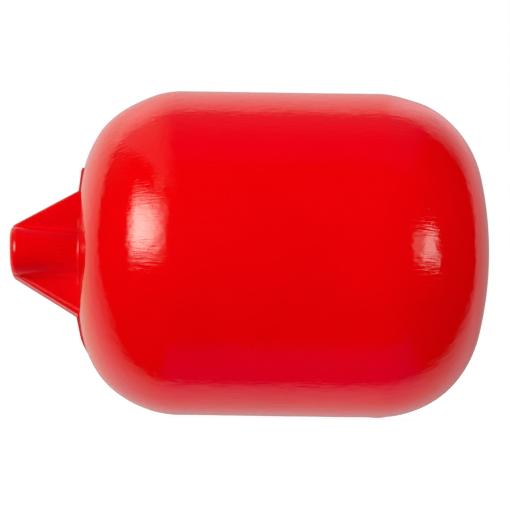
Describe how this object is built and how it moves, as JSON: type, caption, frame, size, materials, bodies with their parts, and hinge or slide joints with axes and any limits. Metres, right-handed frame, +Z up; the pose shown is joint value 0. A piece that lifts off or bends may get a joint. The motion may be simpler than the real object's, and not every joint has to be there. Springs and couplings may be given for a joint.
{
  "type": "cylindrical float",
  "caption": "Hollow round-ended plastic float with a gusseted tapered socket and a threaded insert for a valve arm.",
  "frame": {"origin": "middle of the mouth of the threaded bore, where the valve arm enters", "axes": "+X along the float's axis away from the arm, towards the domed end, +Z up, gussets in the XZ plane"},
  "size_m": [0.1628, 0.11, 0.11],
  "materials": {
    "red_plastic": "glossy moulded polyethylene",
    "brass": "machined"
  },
  "bodies": {
    "root": {"float_body": "red_plastic", "rod_socket": "red_plastic", "upper_gusset": "red_plastic", "lower_gusset": "red_plastic", "threaded_insert": "brass"}
  },
  "joints": []
}
